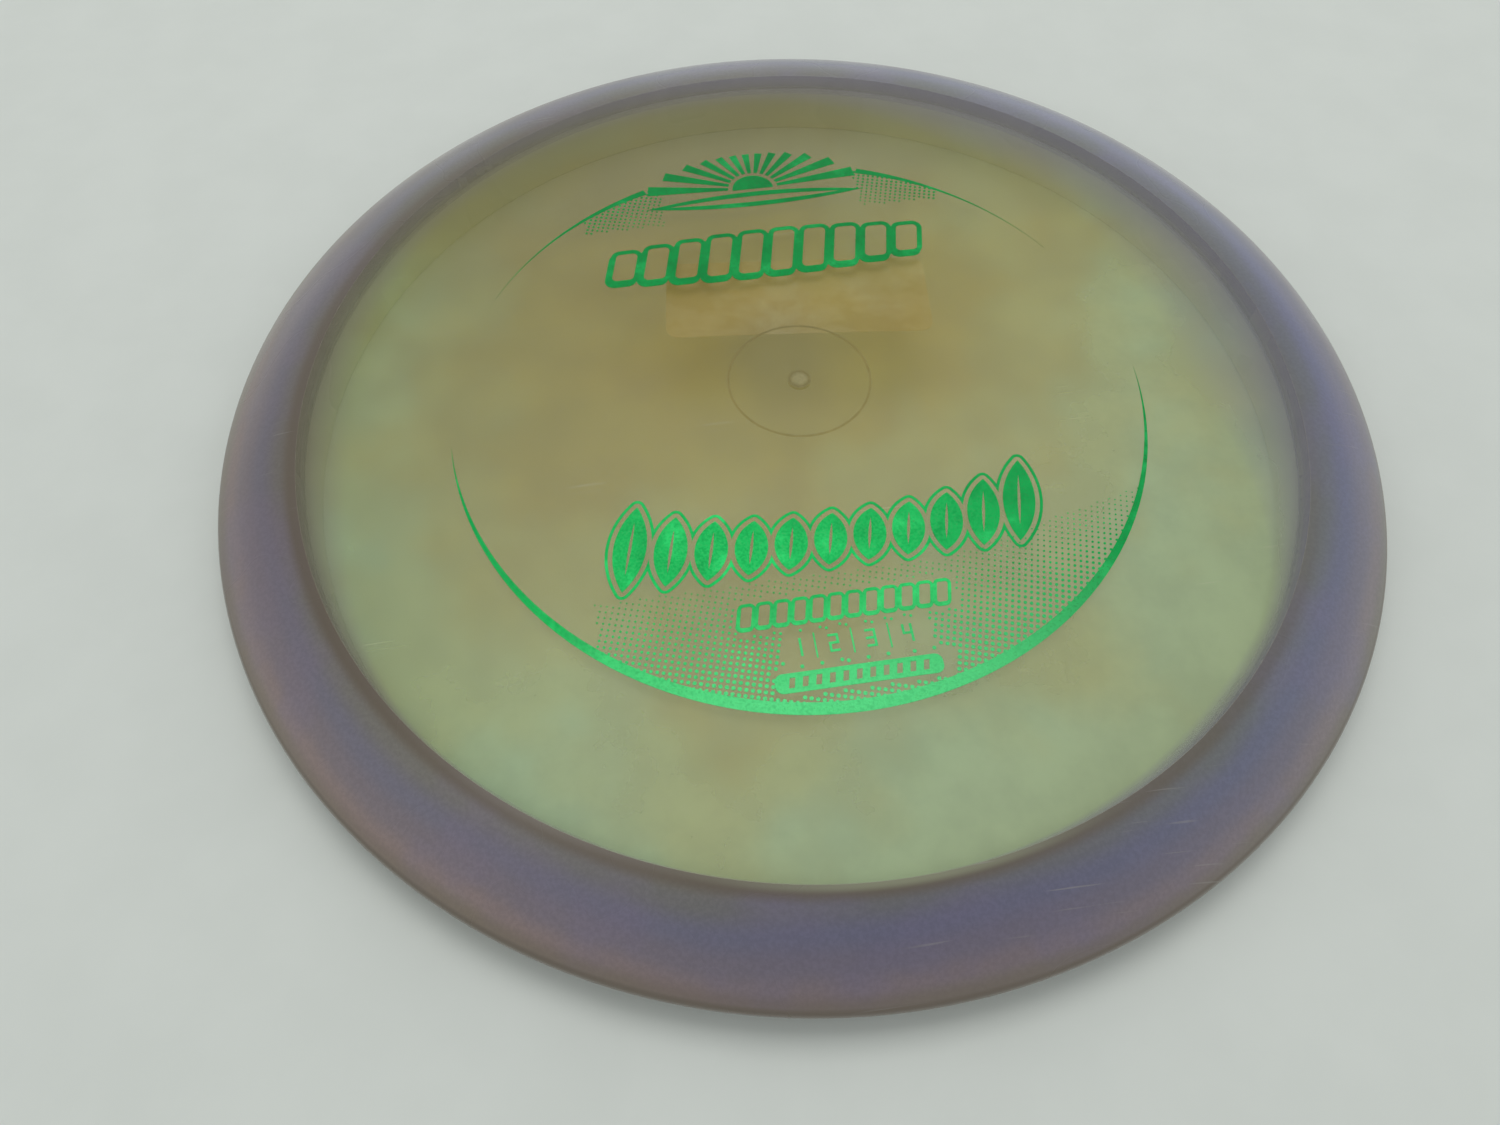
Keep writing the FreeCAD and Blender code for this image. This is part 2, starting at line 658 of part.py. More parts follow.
def make_leaf_row(layer):
    """Solid leaves, each with a fine rib left bare."""
    leaves = leaf_row_faces()
    ribbed = []
    for face in leaves:
        box = face.BoundBox
        rib = leaf(box.Center.x, box.Center.y, size("leaf_rib"), box.YLength * 0.62, size("leaf_lean"))
        ribbed.append(face.cut(rib))
    return foil("foil_leaf_row", Part.makeCompound(ribbed), layer)


def make_leaf_outline(layer):
    """One fine line that runs round the whole row of leaves."""
    leaves = leaf_row_faces()
    gap, stroke = size("leaf_line_gap"), size("leaf_line_stroke")
    flat = merged([grown(face, gap + stroke) for face in leaves]).cut(
        merged([grown(face, gap) for face in leaves]))
    return foil("foil_leaf_outline", flat, layer)


SEGMENTS = {
    # which of a block digit's seven strokes are inked: top, upper left, upper right, middle,
    # lower left, lower right, bottom
    1: (0, 0, 1, 0, 0, 1, 0),
    2: (1, 0, 1, 1, 1, 0, 1),
    3: (1, 0, 1, 1, 0, 1, 1),
    4: (0, 1, 1, 1, 0, 1, 0),
}


def block_digit(digit, cx, cy, across, up, stroke):
    """A plain block digit made from straight strokes."""
    half_x, half_y = (across - stroke) / 2, (up - stroke) / 2
    level = [(0, half_y), (-half_x, half_y / 2), (half_x, half_y / 2), (0, 0),
             (-half_x, -half_y / 2), (half_x, -half_y / 2), (0, -half_y)]
    is_flat = (True, False, False, True, False, False, True)
    strokes = []
    for inked, (x, y), flat in zip(SEGMENTS[digit], level, is_flat):
        if inked:
            wide = across if flat else stroke
            tall = stroke if flat else half_y + stroke
            strokes.append(slanted_block(cx + x, cy + y, wide, tall, 0))
    return merged(strokes)


def make_digits(layer):
    """Four plain digits in their window."""
    pitch, up, stroke = size("digit_pitch"), size("digit_up"), size("digit_stroke")
    across = up * 0.55
    digits = [block_digit(n, (n - 2.5) * pitch, above_foot("digit_above_foot"), across, up, stroke)
              for n in sorted(SEGMENTS)]
    return foil("foil_digits", Part.makeCompound(digits), layer)


def make_dividers(layer):
    """Thin upright rules between the digits."""
    pitch, up = size("digit_pitch"), size("divider_up")
    rules = [slanted_block((n - 2) * pitch, above_foot("digit_above_foot"), size("divider_stroke"), up, 0)
             for n in (1, 2, 3)]
    return foil("foil_dividers", Part.makeCompound(rules), layer)


def make_footer(layer):
    """A solid bar at the foot of the stamp with a row of slanted gaps."""
    length, up, count = size("footer_length"), size("footer_up"), int(size("footer_count"))
    middle_y = above_foot("footer_above_foot")
    bar = grown(slanted_block(0, middle_y, length - up * 0.8, up * 0.2, 0), up * 0.4)
    pitch = (length - up) / count
    gaps = [slanted_block((i - (count - 1) / 2) * pitch, middle_y, pitch * 0.42, up * 0.5,
                          size("link_lean"))
            for i in range(count)]
    return foil("foil_footer", bar.cut(Part.makeCompound(gaps)), layer)


# ---------------------------------------------------------------- assembly, checks and files

foil_thickness = size("foil_thickness")
foil_layer = domed_layer("foil_layer",
                         (f"{CROWN_TOP} + sizes.foil_thickness", crown_top + foil_thickness),
                         ("sizes.foil_thickness", foil_thickness))
label_layer = domed_layer("label_layer", (CROWN_UNDER, crown_under),
                          ("sizes.label_thickness", size("label_thickness")))

sub_parts = [
    make_rim(),
    make_plate(),
    make_gate_button(),
    make_gate_ring(),
    make_label(label_layer),
    make_crescent(foil_layer),
    make_side_arc("foil_arc_left", -1, foil_layer),
    make_side_arc("foil_arc_right", 1, foil_layer),
    make_sun(foil_layer),
    make_link_row(foil_layer),
    make_leaf_row(foil_layer),
    make_leaf_outline(foil_layer),
    make_small_links(foil_layer),
    make_digits(foil_layer),
    make_dividers(foil_layer),
    make_footer(foil_layer),
]
doc.recompute()

for item in doc.Objects:
    if "Invalid" in item.State or "Error" in item.State:
        raise RuntimeError(f"{item.Name} failed: {item.State}")
for item in sub_parts:
    shape = item.Shape
    if shape.isNull() or not shape.isValid() or not shape.Solids:
        raise RuntimeError(f"{item.Label} has no valid solid")

os.makedirs("parts", exist_ok=True)
for item in sub_parts:
    item.Shape.exportStep(f"parts/{item.Label}.step")
    print(f"{item.Label}: {len(item.Shape.Solids)} solids, {item.Shape.Volume:.2f} mm3")
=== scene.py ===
import math

import bmesh
import bpy
from mathutils import Matrix, Vector


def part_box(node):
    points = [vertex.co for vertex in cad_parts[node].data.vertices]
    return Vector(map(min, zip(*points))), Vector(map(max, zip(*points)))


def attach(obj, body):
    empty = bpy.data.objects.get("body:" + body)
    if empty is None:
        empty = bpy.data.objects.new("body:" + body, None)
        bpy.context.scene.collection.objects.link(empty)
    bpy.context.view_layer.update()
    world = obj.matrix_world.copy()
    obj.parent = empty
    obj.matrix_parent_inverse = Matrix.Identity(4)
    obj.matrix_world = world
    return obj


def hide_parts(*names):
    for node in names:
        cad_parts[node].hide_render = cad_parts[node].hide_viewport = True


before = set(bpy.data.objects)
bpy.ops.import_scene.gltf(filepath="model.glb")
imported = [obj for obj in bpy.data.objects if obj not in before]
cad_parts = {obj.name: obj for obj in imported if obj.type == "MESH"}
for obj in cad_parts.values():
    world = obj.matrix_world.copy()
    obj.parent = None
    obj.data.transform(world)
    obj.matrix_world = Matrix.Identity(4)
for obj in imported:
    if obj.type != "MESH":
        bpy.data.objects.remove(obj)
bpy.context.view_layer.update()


# ---------------------------------------------------------------- camera, floor and lights
# The viewer leans over the disc with a wide lens, a hand's breadth above the table.  The table is
# a pale matt sheet under even studio light, with one soft box above and behind it.

scene = bpy.context.scene

camera_place = Vector((-0.02614, -0.11793, 0.15428))
camera_target = Vector((-0.01334, -0.02881, 0.0))
camera_data = bpy.data.cameras.new("camera")
camera_data.sensor_width = 36.0
camera_data.lens = 24.03
camera_data.clip_start = 0.005
camera_roll = -0.005
camera = bpy.data.objects.new("camera", camera_data)
view = (camera_target - camera_place).to_track_quat("-Z", "Y")
roll = Matrix.Rotation(camera_roll, 3, "Z")
camera.matrix_world = Matrix.Translation(camera_place) @ (view.to_matrix() @ roll).to_4x4()
scene.collection.objects.link(camera)
scene.camera = camera

scene.view_settings.view_transform = "Standard"
scene.view_settings.exposure = 0.0

# The room is a little brighter low down, as pale walls are, than overhead.
world = bpy.data.worlds.new("studio")
world.use_nodes = True
world_nodes = world.node_tree.nodes
world_links = world.node_tree.links
sky_place = world_nodes.new("ShaderNodeTexCoord")
sky_parts = world_nodes.new("ShaderNodeSeparateXYZ")
wall_to_ceiling = world_nodes.new("ShaderNodeValToRGB")
wall_to_ceiling.color_ramp.elements[0].position = 0.05
wall_to_ceiling.color_ramp.elements[0].color = (1.0, 1.04, 1.02, 1.0)
wall_to_ceiling.color_ramp.elements[1].position = 0.80
wall_to_ceiling.color_ramp.elements[1].color = (0.60, 0.625, 0.61, 1.0)
world_links.new(sky_place.outputs["Generated"], sky_parts.inputs[0])
world_links.new(sky_parts.outputs["Z"], wall_to_ceiling.inputs["Fac"])
world_links.new(wall_to_ceiling.outputs["Color"], world_nodes["Background"].inputs["Color"])
world_nodes["Background"].inputs["Strength"].default_value = 0.80
scene.world = world


# One rectangular soft box hangs over the far side and faces the disc.
BOX_PLACE = Vector((0.05, 0.45, 1.25))
BOX_WIDTH = 1.0
BOX_HEIGHT = 0.7
BOX_POWER = 5.0
lamp = bpy.data.lights.new("overhead_box", "AREA")
lamp.shape = "RECTANGLE"
lamp.size = BOX_WIDTH
lamp.size_y = BOX_HEIGHT
lamp.energy = BOX_POWER
lamp.color = (1.0, 0.99, 0.97)
holder = bpy.data.objects.new("overhead_box", lamp)
facing = (-BOX_PLACE).to_track_quat("-Z", "Y")
holder.matrix_world = Matrix.Translation(BOX_PLACE) @ facing.to_matrix().to_4x4()
scene.collection.objects.link(holder)


def node_material(name):
    """A new node material and its Principled shader."""
    material = bpy.data.materials.new(name)
    material.use_nodes = True
    return material, material.node_tree.nodes["Principled BSDF"]


def add(material, kind, **values):
    """Add a node; each value sets a property of the node, or else the input of that name."""
    node = material.node_tree.nodes.new(kind)
    for key, value in values.items():
        if hasattr(node, key):
            setattr(node, key, value)
        else:
            node.inputs[key.replace("_", " ")].default_value = value
    return node


def wire(material, source, target):
    """Link an output to an input."""
    material.node_tree.links.new(source, target)


def ramp(material, factor, stops, ease="EASE"):
    """A colour ramp over the factor; each stop is (position, colour or grey)."""
    node = material.node_tree.nodes.new("ShaderNodeValToRGB")
    node.color_ramp.interpolation = ease
    elements = node.color_ramp.elements
    while len(elements) < len(stops):
        elements.new(0.5)
    for element, (position, colour) in zip(elements, stops):
        element.position = position
        element.color = (*colour, 1.0) if isinstance(colour, tuple) else (colour, colour, colour, 1.0)
    wire(material, factor, node.inputs["Fac"])
    return node.outputs["Color"]


def noise(material, place, scale, detail=3.0, roughness=0.55, distortion=0.0):
    """Cloudy noise; scale is in clouds per metre."""
    node = add(material, "ShaderNodeTexNoise")
    node.inputs["Scale"].default_value = scale
    node.inputs["Detail"].default_value = detail
    node.inputs["Roughness"].default_value = roughness
    node.inputs["Distortion"].default_value = distortion
    wire(material, place, node.inputs["Vector"])
    return node.outputs["Fac"]


def own_place(material):
    """The point's own place on the piece, in metres."""
    return add(material, "ShaderNodeTexCoord").outputs["Object"]


TABLE_REACH = 40.0
floor_mesh = bpy.data.meshes.new("table")
floor_form = bmesh.new()
bmesh.ops.create_grid(floor_form, x_segments=1, y_segments=1, size=TABLE_REACH)
floor_form.to_mesh(floor_mesh)
floor_form.free()
floor = bpy.data.objects.new("table", floor_mesh)
scene.collection.objects.link(floor)
table_white, shader = node_material("table_white")
grain = noise(table_white, own_place(table_white), 60.0, 4.0)
wire(table_white, ramp(table_white, grain, [(0.3, (0.70, 0.73, 0.70)), (0.7, (0.72, 0.75, 0.72))]),
     shader.inputs["Base Color"])
shader.inputs["Roughness"].default_value = 0.7
floor_mesh.materials.append(table_white)


# ---------------------------------------------------------------- rim
# The thick wing that is gripped: grey-violet pearl plastic, moulded in one shot with the plate.  Its
# crown runs on from the plate's flat dome to a blunt nose, and its keel runs in to the flat ring
# that it rests on.

plate_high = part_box("flight_plate")[1]
rim_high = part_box("rim")[1]
OUTER_RADIUS = max(rim_high.x, rim_high.y)
INNER_RADIUS = max(plate_high.x, plate_high.y)
CROWN_HEIGHT = plate_high.z
DOME_DROP = CROWN_HEIGHT - rim_high.z
DOME_RADIUS = (INNER_RADIUS ** 2 + DOME_DROP ** 2) / (2 * DOME_DROP)


def dome_height(radius):
    """Height of the plate's top at this distance from the axis."""
    return CROWN_HEIGHT - DOME_RADIUS + math.sqrt(DOME_RADIUS ** 2 - radius ** 2)


def arc_points(centre, radius, start, end, count):
    """Points (r, z) along an arc; the angles are in degrees and both ends are included."""
    points = []
    for i in range(count + 1):
        angle = math.radians(start + (end - start) * i / count)
        points.append((centre[0] + radius * math.cos(angle), centre[1] + radius * math.sin(angle)))
    return points


SHARP_ANGLE = math.radians(35.0)
SPIN_STEPS = 240


def spun(name, outline, steps=SPIN_STEPS, closed=True):
    """Turn an outline of (r, z) points about the axis and return the finished object."""
    form = bmesh.new()
    corners = [form.verts.new((r, 0.0, z)) for r, z in outline]
    edges = [form.edges.new(pair) for pair in zip(corners, corners[1:])]
    if closed:
        edges.append(form.edges.new((corners[-1], corners[0])))
    bmesh.ops.spin(form, geom=corners + edges, cent=(0, 0, 0), axis=(0, 0, 1),
                   angle=2 * math.pi, steps=steps, use_merge=True)
    bmesh.ops.remove_doubles(form, verts=form.verts, dist=1e-7)
    bmesh.ops.recalc_face_normals(form, faces=form.faces)
    for face in form.faces:
        face.smooth = True
    for edge in form.edges:
        edge.smooth = not (edge.is_manifold and edge.calc_face_angle() > SHARP_ANGLE)
    mesh = bpy.data.meshes.new(name)
    form.to_mesh(mesh)
    form.free()
    piece = bpy.data.objects.new(name, mesh)
    scene.collection.objects.link(piece)
    return piece


NOSE_RADIUS = 0.0020
NOSE_HEIGHT = 0.0060
RING_WIDTH = 0.0030
HEEL_RADIUS = 0.0016
LIP_RADIUS = 0.0006

nose = Vector((OUTER_RADIUS - NOSE_RADIUS, NOSE_HEIGHT))
crown_start = Vector((INNER_RADIUS, dome_height(INNER_RADIUS)))
slope = math.asin(INNER_RADIUS / DOME_RADIUS)
outward = Vector((math.sin(slope), math.cos(slope)))
gap = crown_start - nose
wing_radius = (gap.dot(gap) - NOSE_RADIUS ** 2) / (2 * (gap.dot(outward) - NOSE_RADIUS))
wing_centre = crown_start - outward * wing_radius
crown_end = math.degrees(math.atan2(nose.y - wing_centre.y, nose.x - wing_centre.x))

# The keel is the straight line from the heel that touches the nose circle from below.
heel = Vector((INNER_RADIUS + RING_WIDTH, 0.0))
to_nose = nose - heel
keel_angle = math.atan2(to_nose.y, to_nose.x) - math.asin(NOSE_RADIUS / to_nose.length)
keel_end = math.degrees(keel_angle) - 90.0
heel_back = HEEL_RADIUS * math.tan(keel_angle / 2)
heel_centre = (heel.x - heel_back, HEEL_RADIUS)

outline = arc_points(wing_centre, wing_radius, 90.0 - math.degrees(slope), crown_end, 28)
outline += arc_points(nose, NOSE_RADIUS, crown_end, keel_end, 14)[1:]
nose_foot = Vector(outline[-1])
heel_start = arc_points(heel_centre, HEEL_RADIUS, keel_end, -90.0, 6)
KEEL_STEPS = 8
for step in range(1, KEEL_STEPS):
    outline.append(tuple(nose_foot.lerp(Vector(heel_start[0]), step / KEEL_STEPS)))
outline += heel_start
lip_centre = (INNER_RADIUS + LIP_RADIUS, LIP_RADIUS)
outline += arc_points(lip_centre, LIP_RADIUS, -90.0, -180.0, 5)
WALL_HEIGHTS = (0.004, 0.008, 0.0112)
outline += [(INNER_RADIUS, height) for height in WALL_HEIGHTS]
rim = spun("rim_wing", outline)


def arithmetic(material, operation, first, second, third=None, clamp=False):
    """A Math node; each term is a number or another node's output."""
    node = material.node_tree.nodes.new("ShaderNodeMath")
    node.operation = operation
    node.use_clamp = clamp
    terms = [first, second] if third is None else [first, second, third]
    for socket, term in zip(node.inputs, terms):
        if isinstance(term, (int, float)):
            socket.default_value = term
        else:
            wire(material, term, socket)
    return node.outputs[0]


def blend(material, factor, first, second, mode="MIX"):
    """A Mix node for colours; the factor and both colours may be outputs."""
    node = material.node_tree.nodes.new("ShaderNodeMix")
    node.data_type = "RGBA"
    node.blend_type = mode
    node.clamp_factor = True
    for socket, term in ((node.inputs[0], factor), (node.inputs[6], first), (node.inputs[7], second)):
        if isinstance(term, tuple):
            socket.default_value = (*term, 1.0)
        elif isinstance(term, (int, float)):
            socket.default_value = term
        else:
            wire(material, term, socket)
    return node.outputs[2]


def moved(material, place, turn=(0.0, 0.0, 0.0), stretch=(1.0, 1.0, 1.0), shift=(0.0, 0.0, 0.0)):
    """The place stretched, turned and then shifted."""
    node = add(material, "ShaderNodeMapping")
    node.inputs["Rotation"].default_value = turn
    node.inputs["Scale"].default_value = stretch
    node.inputs["Location"].default_value = shift
    wire(material, place, node.inputs["Vector"])
    return node.outputs["Vector"]


def split(material, place):
    """The place's X, Y and Z."""
    node = add(material, "ShaderNodeSeparateXYZ")
    wire(material, place, node.inputs[0])
    return node.outputs


def length(material, place):
    """How far the place is from the origin."""
    node = add(material, "ShaderNodeVectorMath", operation="LENGTH")
    wire(material, place, node.inputs[0])
    return node.outputs["Value"]


def bearing(material, parts):
    """The way round the disc: 0 at the left, 0.25 near, 0.5 right, 0.75 far and 1 left again."""
    angle = arithmetic(material, "ARCTAN2", parts["Y"], parts["X"])
    return arithmetic(material, "MULTIPLY_ADD", angle, 0.5 / math.pi, 0.5)


rim_pearl, shader = node_material("rim_pearl")
place = own_place(rim_pearl)
parts = split(rim_pearl, place)
FLAT = (1.0, 1.0, 0.0)
distance = length(rim_pearl, moved(rim_pearl, place, stretch=FLAT))
# The colour bands run from the plate, at 0, to the nose, at 1, and drift in and out.
across = arithmetic(rim_pearl, "MULTIPLY_ADD", distance,
                    1.0 / (OUTER_RADIUS - INNER_RADIUS),
                    -INNER_RADIUS / (OUTER_RADIUS - INNER_RADIUS))
DRIFT = 0.40
drift = noise(rim_pearl, place, 22.0, 2.0)
drifting = arithmetic(rim_pearl, "MULTIPLY_ADD", drift, DRIFT,
                      arithmetic(rim_pearl, "SUBTRACT", across, DRIFT / 2))
bands = ramp(rim_pearl, drifting, [
    (0.02, (0.120, 0.112, 0.110)),
    (0.16, (0.114, 0.110, 0.122)),
    (0.40, (0.108, 0.104, 0.172)),
    (0.62, (0.126, 0.106, 0.152)),
    (0.82, (0.160, 0.118, 0.136)),
    (0.98, (0.150, 0.124, 0.112)),
])
# Pearl pigment gathers in soft patches and in fine flecks.
patches = ramp(rim_pearl, noise(rim_pearl, place, 48.0, 3.0), [(0.42, 0.0), (0.68, 0.55)])
bands = blend(rim_pearl, patches, bands, (0.128, 0.108, 0.190))
flecks = ramp(rim_pearl, noise(rim_pearl, place, 1500.0, 2.0, 0.7), [(0.32, 0.93), (0.70, 1.07)])
bands = blend(rim_pearl, 1.0, bands, flecks, "MULTIPLY")
# The pigment is uneven round the rim: browner on the left and paler at the near-left; the paler far
# sides are a painted sheen, where the rim is seen at a grazing slant.
way_round = bearing(rim_pearl, parts)
pigment_and_sheen = ramp(rim_pearl, way_round, [
    (0.000, (1.10, 0.97, 0.78)),
    (0.125, (1.45, 1.39, 1.12)),
    (0.250, (1.06, 1.06, 1.06)),
    (0.375, (1.22, 1.33, 1.26)),
    (0.500, (1.02, 1.10, 1.26)),
    (0.625, (1.32, 1.44, 1.46)),
    (0.750, (1.36, 1.36, 1.22)),
    (0.875, (1.13, 1.06, 0.78)),
    (1.000, (1.10, 0.97, 0.78)),
])
bands = blend(rim_pearl, 1.0, bands, pigment_and_sheen, "MULTIPLY")
# Painted brown shade darkens the crease by the plate on one side; brown dirt lies all round the nose,
# more on that side.
SHADE_AND_DIRT_TURN = (0.0, 0.0, math.radians(45.0))
SHADE_AND_DIRT_SLOPE = -9.0
turned = split(rim_pearl, moved(rim_pearl, place, turn=SHADE_AND_DIRT_TURN))
shade_and_dirt_side = arithmetic(rim_pearl, "MULTIPLY_ADD", turned["Y"], SHADE_AND_DIRT_SLOPE, 0.50, clamp=True)
# Painted shade: a brown darkening of the crease next to the plate, on one side only.
crease = ramp(rim_pearl, across, [(0.06, 0.85), (0.19, 0.0)])
crease = arithmetic(rim_pearl, "MULTIPLY", crease, shade_and_dirt_side)
bands = blend(rim_pearl, crease, bands, (0.098, 0.070, 0.044))
nose_dirt = ramp(rim_pearl, across, [(0.80, 0.0), (0.94, 0.55)])
nose_dirt = arithmetic(rim_pearl, "MULTIPLY", nose_dirt, shade_and_dirt_side)
bands = blend(rim_pearl, nose_dirt, bands, (0.125, 0.086, 0.056))
nose_dirt = ramp(rim_pearl, across, [(0.935, 0.0), (0.965, 0.80)])
bands = blend(rim_pearl, nose_dirt, bands, (0.105, 0.074, 0.050))
# Light from the plate bleeds a millimetre into the rim on the near side.
bleed = ramp(rim_pearl, way_round, [(0.18, 0.0), (0.25, 1.0), (0.32, 0.0)])
bleed = arithmetic(rim_pearl, "MULTIPLY", bleed, ramp(rim_pearl, across, [(0.02, 0.65), (0.09, 0.0)]))
bands = blend(rim_pearl, bleed, bands, (0.250, 0.270, 0.160))
# Short pale scratches run where the rim has slid over the ground.
RIM_SCRATCH_TURN = (0.0, 0.0, 0.5)
RIM_SCRATCH_STRETCH = (70.0, 2200.0, 70.0)
scratch_place = moved(rim_pearl, place, turn=RIM_SCRATCH_TURN, stretch=RIM_SCRATCH_STRETCH)
scratches = noise(rim_pearl, scratch_place, 1.0, 2.0, 0.4)
worn = noise(rim_pearl, place, 30.0, 2.0)
scratches = arithmetic(rim_pearl, "MULTIPLY",
                       ramp(rim_pearl, scratches, [(0.68, 0.0), (0.78, 0.4)]),
                       ramp(rim_pearl, worn, [(0.50, 0.0), (0.66, 1.0)]))
bands = blend(rim_pearl, scratches, bands, (0.30, 0.28, 0.27))
# The inner wall is seen through the plate; its colour is painted olive light, paler at its foot to
# meet the lit table and darker at the top as painted shade.
WALL_SKIN = 0.00002
WALL_FADE = 0.0125
wall = arithmetic(rim_pearl, "LESS_THAN", distance, INNER_RADIUS + WALL_SKIN)
wall_painted_light_and_shade = ramp(rim_pearl, arithmetic(rim_pearl, "MULTIPLY", parts["Z"], 1.0 / WALL_FADE),
                 [(0.0, (0.42, 0.40, 0.27)), (0.85, (0.28, 0.26, 0.19))])
bands = blend(rim_pearl, wall, bands, wall_painted_light_and_shade)
wire(rim_pearl, bands, shader.inputs["Base Color"])
wire(rim_pearl, ramp(rim_pearl, worn, [(0.35, 0.25), (0.70, 0.36)]), shader.inputs["Roughness"])
shader.inputs["Coat Weight"].default_value = 0.6
shader.inputs["Coat Roughness"].default_value = 0.22
shader.inputs["IOR"].default_value = 1.5
rim.data.materials.append(rim_pearl)
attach(rim, "root")
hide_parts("rim")


# ---------------------------------------------------------------- flight plate
# The plate inside the rim: the same plastic two millimetres thick, so light gets through it and
# it looks olive to mint green.  A fillet thickens its edge where it meets the rim's inner wall.

PLATE_THICKNESS = 0.0020
CORNER_RADIUS = 0.0025
DOME_CENTRE = CROWN_HEIGHT - DOME_RADIUS
UNDER_CENTRE = DOME_CENTRE - PLATE_THICKNESS
fillet_x = INNER_RADIUS - CORNER_RADIUS
fillet_end = math.acos(fillet_x / (DOME_RADIUS - CORNER_RADIUS))
fillet_z = UNDER_CENTRE + (DOME_RADIUS - CORNER_RADIUS) * math.sin(fillet_end)
under_reach = DOME_RADIUS * math.cos(fillet_end)


def under_height(radius):
    """Height of the plate's underside at this distance from the axis."""
    return dome_height(radius) - PLATE_THICKNESS


TOP_STEPS = 60
UNDER_STEPS = 50
outline = []
for i in range(TOP_STEPS + 1):
    radius = INNER_RADIUS * i / TOP_STEPS
    outline.append((radius, dome_height(radius)))
outline += arc_points((fillet_x, fillet_z), CORNER_RADIUS, 0.0, math.degrees(fillet_end), 10)
for i in range(UNDER_STEPS - 1, -1, -1):
    radius = under_reach * i / UNDER_STEPS
    outline.append((radius, under_height(radius)))
plate = spun("flight_plate_disc", outline, closed=False)

plate_pearl, shader = node_material("plate_pearl")
place = own_place(plate_pearl)
parts = split(plate_pearl, place)
flat_place = moved(plate_pearl, place, stretch=FLAT)
reach = length(plate_pearl, flat_place)

# The middle is yellow-brown and the side away from the label is mint; cloudy patches mix them.
FROM_YELLOW = (0.008, -0.022, 0.0)
TONE_REACH = 0.110
CLOUD_DEPTH = 0.100
middle = length(plate_pearl, moved(plate_pearl, flat_place, shift=FROM_YELLOW))
cloud = noise(plate_pearl, place, 26.0, 3.0, 0.55)
tone = arithmetic(plate_pearl, "MULTIPLY_ADD", cloud, CLOUD_DEPTH, middle)
tone = arithmetic(plate_pearl, "MULTIPLY_ADD", tone, 1.0 / TONE_REACH, -CLOUD_DEPTH / 2 / TONE_REACH)
tints = ramp(plate_pearl, tone, [
    (0.06, (0.450, 0.350, 0.050)),
    (0.34, (0.455, 0.385, 0.070)),
    (0.56, (0.465, 0.460, 0.140)),
    (0.78, (0.475, 0.560, 0.240)),
    (1.00, (0.440, 0.620, 0.345)),
])
# It is greyer round the gate, where the plastic went in; it is darker towards the far left and
# lighter and warmer towards the near right.
FROM_GREY = (0.002, -0.004, 0.0)
GREY_REACH = 0.020
from_gate = length(plate_pearl, moved(plate_pearl, flat_place, shift=FROM_GREY))
grey = ramp(plate_pearl, arithmetic(plate_pearl, "MULTIPLY", from_gate, 1.0 / GREY_REACH),
            [(0.10, 0.90), (0.85, 0.0)])
tints = blend(plate_pearl, grey, tints, (0.385, 0.325, 0.090))
SLANT_SLOPE = 4.2
slant = arithmetic(plate_pearl, "SUBTRACT", parts["X"], parts["Y"])
slant = arithmetic(plate_pearl, "MULTIPLY_ADD", slant, SLANT_SLOPE, 0.5, clamp=True)
slant_tone = ramp(plate_pearl, slant, [(0.0, (0.79, 0.78, 0.76)), (0.5, (1.0, 1.0, 1.0)),
                                   (1.0, (1.13, 0.99, 0.94))], "LINEAR")
tints = blend(plate_pearl, 1.0, tints, slant_tone, "MULTIPLY")
# Finer brown clouds, a few smudges and pale hair scratches lie over the whole plate.
mottle = ramp(plate_pearl, noise(plate_pearl, place, 75.0, 4.0, 0.6), [(0.34, 0.92), (0.68, 1.06)])
tints = blend(plate_pearl, 1.0, tints, mottle, "MULTIPLY")
smudge = ramp(plate_pearl, noise(plate_pearl, place, 130.0, 2.0, 0.5), [(0.77, 0.0), (0.84, 0.30)])
tints = blend(plate_pearl, smudge, tints, (0.200, 0.140, 0.060))
PLATE_SCRATCH_TURN = (0.0, 0.0, -0.9)
PLATE_SCRATCH_STRETCH = (45.0, 1100.0, 45.0)
scratch_place = moved(plate_pearl, place, turn=PLATE_SCRATCH_TURN, stretch=PLATE_SCRATCH_STRETCH)
scratches = noise(plate_pearl, scratch_place, 1.0, 2.0, 0.4)
scratches = ramp(plate_pearl, scratches, [(0.745, 0.0), (0.81, 0.35)])
tints = blend(plate_pearl, scratches, tints, (0.720, 0.700, 0.520))
# The far side is painted a darker olive: painted shade of the deep inner wall seen through the plate.
FAR_SHADE_SLOPE = 17.0
FAR_SHADE_START = -0.55
far_painted_shade = arithmetic(plate_pearl, "MULTIPLY_ADD", parts["Y"], FAR_SHADE_SLOPE, FAR_SHADE_START, clamp=True)
tints = blend(plate_pearl, far_painted_shade, tints, (0.280, 0.262, 0.120))
